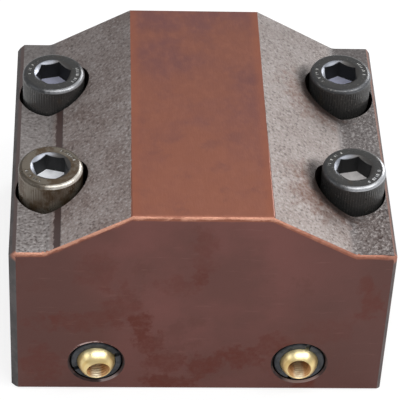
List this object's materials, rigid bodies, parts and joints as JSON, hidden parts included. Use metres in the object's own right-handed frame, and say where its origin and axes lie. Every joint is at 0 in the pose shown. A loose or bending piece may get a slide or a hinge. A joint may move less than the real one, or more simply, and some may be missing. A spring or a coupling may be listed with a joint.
{
  "type": "lathe turret tool holder",
  "caption": "Blank turret tool holder block for a lathe, with sloping flanks, loose socket head screws in deep counterbores and swivelling brass coolant nozzles in its front face.",
  "frame": {"origin": "middle of the bolt pattern on the flat turret face, which is the base", "axes": "+Z out of the turret towards the ridge, -Y out of the front face with the nozzles, +X to the right"},
  "size_m": [0.094, 0.084, 0.059],
  "materials": {
    "hardened_steel": "hardened steel with a reddish brown oxide, worn bright on the front edge, sand blasted grey on shoulders and flanks",
    "black_oxide": "oiled black oxide, polished on the head's edge",
    "blackened_ring": "satin black",
    "brass": "turned bright brass",
    "nitrile_rubber": "matt black",
    "plain_steel": "plain turned steel"
  },
  "bodies": {
    "holder": {"holder_body": "hardened_steel", "cap_screw_front_left": "black_oxide", "cap_screw_front_right": "black_oxide", "cap_screw_rear_left": "black_oxide", "cap_screw_rear_right": "black_oxide", "nozzle_ring_left": "blackened_ring", "nozzle_ring_right": "blackened_ring", "nozzle_seal_left": "nitrile_rubber", "nozzle_seal_right": "nitrile_rubber", "inlet_seal": "nitrile_rubber", "gallery_plug": "plain_steel"},
    "ball_left": {"nozzle_ball_left": "brass"},
    "ball_right": {"nozzle_ball_right": "brass"}
  },
  "joints": [
    {"name": "nozzle_left_tilt", "type": "hinge", "parent": "holder", "child": "ball_left", "pos_m": [-0.0256, -0.0401, 0.0095], "axis": [1, 0, 0], "range_deg": [-22, 8]},
    {"name": "nozzle_right_tilt", "type": "hinge", "parent": "holder", "child": "ball_right", "pos_m": [0.0256, -0.0401, 0.0095], "axis": [1, 0, 0], "range_deg": [-10, 20]}
  ]
}
